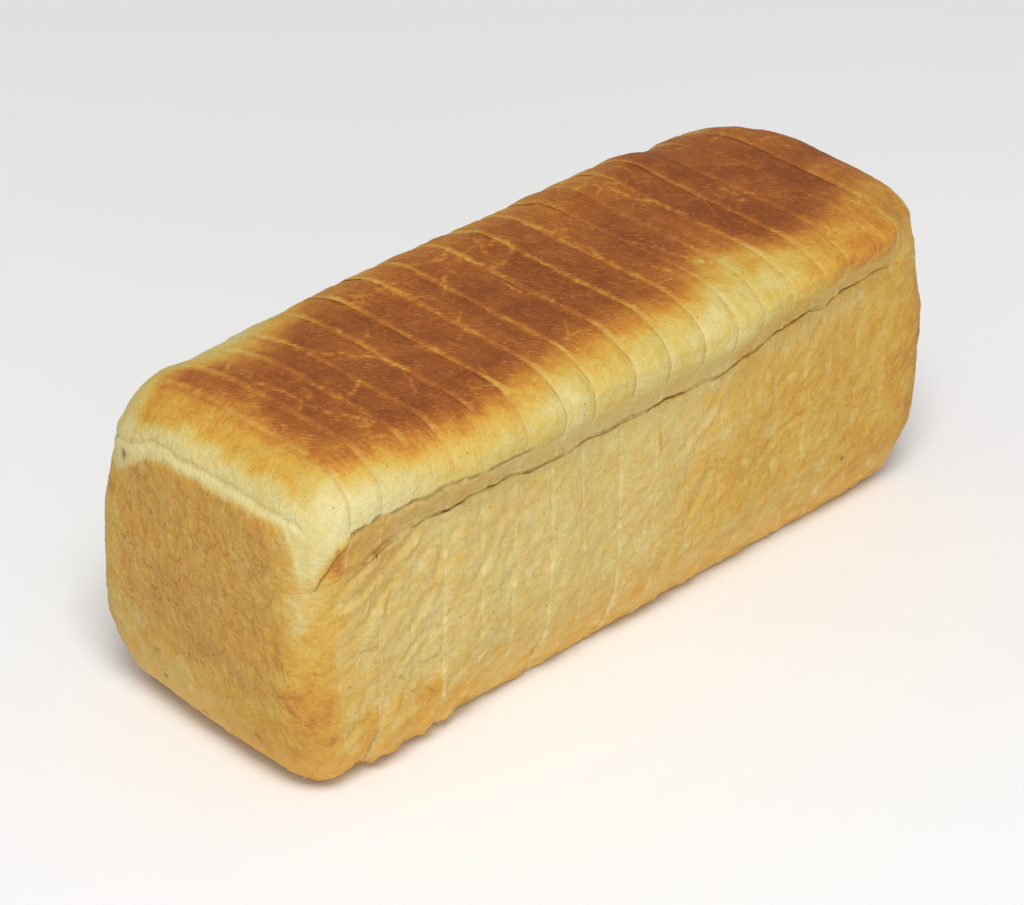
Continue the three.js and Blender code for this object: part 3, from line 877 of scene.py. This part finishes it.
def crumb_material():
    """Soft white crumb, with a thin line of crust round it, as it shows on the cut faces."""
    material, tree, place, shader = new_material("crumb", 0.85)
    pores = tree.node("ShaderNodeTexVoronoi", {"feature": "SMOOTH_F1"}, {"Vector": place, "Scale": 0.45})
    fine = noise_at(tree, place, 0.9)
    open_pores = 1 - (pores + 0.2 * fine).step(0.15, 0.5)
    y, z = (tree.node("ShaderNodeSeparateXYZ", (), {0: place}, output=k) for k in (1, 2))
    out = (y - shift_y).size()
    turn = tree.math("MINIMUM", tree.math("MAXIMUM", (out - ARC_START) * (1 / ARC_ACROSS), 0), 1)
    arc_height = HEIGHT - ARC_HIGH + ARC_HIGH * tree.math("SQRT", 1 - turn * turn)
    lid_edge = (z - arc_height).step(-2.2, -1.0)
    lid_edge = lid_edge * z.step(90, 96) * y.step(-42, -30)
    wall_edge = tree.math("MAXIMUM", (out - WALL).step(-2.0, -1.2), 1 - z.step(1.0, 1.8))
    colour = tree.colours(CRUMB, PORE, open_pores * 0.6).blend(CUT_WALL, wall_edge).blend(CUT_LID, lid_edge)
    tree.link(colour, shader.inputs["Base Color"])
    height = 0.5 * pores + 0.12 * fine
    tree.link(tree.node("ShaderNodeBump", (), {"Height": height, "Distance": MM, "Strength": 0.9}),
              shader.inputs["Normal"])
    return material


# ---- The sliced loaf ----
# Each slice and heel is one closed piece: its crust, and a flat cut face of crumb on each side that was
# sliced. They stand in a row as they came off the blades.

crust_looks = {slot: crust_material(slot) for slot in ("slice_crust", "heel_crust")}
crumb_look = crumb_material()


def new_object(name, data):
    """A new object of the scene for this mesh, light or camera."""
    made = bpy.data.objects.new(name, data)
    bpy.context.scene.collection.objects.link(made)
    return made


def close_cuts(bm):
    """Fills the open ends of a crust, and returns the new faces."""
    edges = [e for e in bm.edges if e.is_boundary]
    for e in edges:
        e.smooth = False
    made = bmesh.ops.holes_fill(bm, edges=edges, sides=0)["faces"]
    bmesh.ops.recalc_face_normals(bm, faces=made)
    return made


for crust in crusts:
    bm = crust.bm
    for face in bm.faces:
        face.smooth = True
    for face in close_cuts(bm):
        face.smooth = False
        face.material_index = 1
    mesh = bpy.data.meshes.new(crust.name)
    bm.to_mesh(mesh)
    bm.free()
    for name, values in crust.masks.items():
        mesh.attributes.new(name, "FLOAT", "POINT").data.foreach_set("value", values.astype(np.float32))
    piece = new_object("baked_" + crust.name, mesh)
    slot = "heel_crust" if crust.heel else "slice_crust"
    mesh.materials.append(crust_looks[slot])
    mesh.materials.append(crumb_look)
    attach(piece, "root")
    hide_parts(crust.name)


# ---- Studio ----
# A pale sweep of floor, soft light from in front and above, and the camera.

floor_mesh = bpy.data.meshes.new("floor")
bm = bmesh.new()
bmesh.ops.create_grid(bm, x_segments=1, y_segments=1, size=6)
bm.to_mesh(floor_mesh)
bm.free()
floor = new_object("floor", floor_mesh)
floor_material = bpy.data.materials.new("floor")
floor_material.use_nodes = True
paint = floor_material.node_tree.nodes["Principled BSDF"]
paint.inputs["Base Color"].default_value = shade(243, 243, 243)
paint.inputs["Roughness"].default_value = 0.9
floor_mesh.materials.append(floor_material)

IMAGE = Vector((1024, 905))
SENSOR = 36
FOCAL_PIXELS = 3643
AIM = Vector((0, shift_y * MM, 0.06))     # the loaf's middle, and the pixel that it's seen at
AIM_PIXEL = Vector((534, 411))
VIEW_DISTANCE = 1.1413
VIEW_TURN, VIEW_TILT, VIEW_ROLL = map(math.radians, (46.74, 30.62, 2.0))

look = Vector((math.sin(VIEW_TURN) * math.cos(VIEW_TILT), math.cos(VIEW_TURN) * math.cos(VIEW_TILT),
               -math.sin(VIEW_TILT)))
level = Vector((math.cos(VIEW_TURN), -math.sin(VIEW_TURN), 0))
rolled = Matrix.Rotation(-VIEW_ROLL, 3, look)
right = rolled @ level
up = right.cross(look)
offset = (AIM_PIXEL - IMAGE / 2) / FOCAL_PIXELS
forward = (look - right * offset.x + up * offset.y).normalized()
right = (right - forward * right.dot(forward)).normalized()
up = right.cross(forward)
camera_data = bpy.data.cameras.new("camera")
camera_data.sensor_width = SENSOR
camera_data.lens = SENSOR * FOCAL_PIXELS / IMAGE.x
camera_data.clip_end = 50
camera = new_object("camera", camera_data)
facing = Matrix((right, up, -forward)).transposed()
camera.matrix_world = Matrix.Translation(AIM - look * VIEW_DISTANCE) @ facing.to_4x4()
bpy.context.scene.camera = camera


def softbox(name, place, size, power):
    """A square lamp that is turned to the loaf."""
    data = bpy.data.lights.new(name, "AREA")
    data.size = size
    data.energy = power
    light = new_object(name, data)
    light.location = place
    light.rotation_euler = (Vector((0, 0, 0.05)) - Vector(place)).to_track_quat("-Z", "Y").to_euler()


softbox("key", (-0.75, -0.75, 1.9), 0.8, 31)
softbox("fill", (-0.8, -1.6, 0.12), 1.4, 11)
world = bpy.data.worlds.new("studio")
world.use_nodes = True
sky = world.node_tree.nodes["Background"]
sky.inputs["Color"].default_value = (1, 1, 1, 1)
sky.inputs["Strength"].default_value = 0.42
bpy.context.scene.world = world
bpy.context.scene.view_settings.view_transform = "Standard"
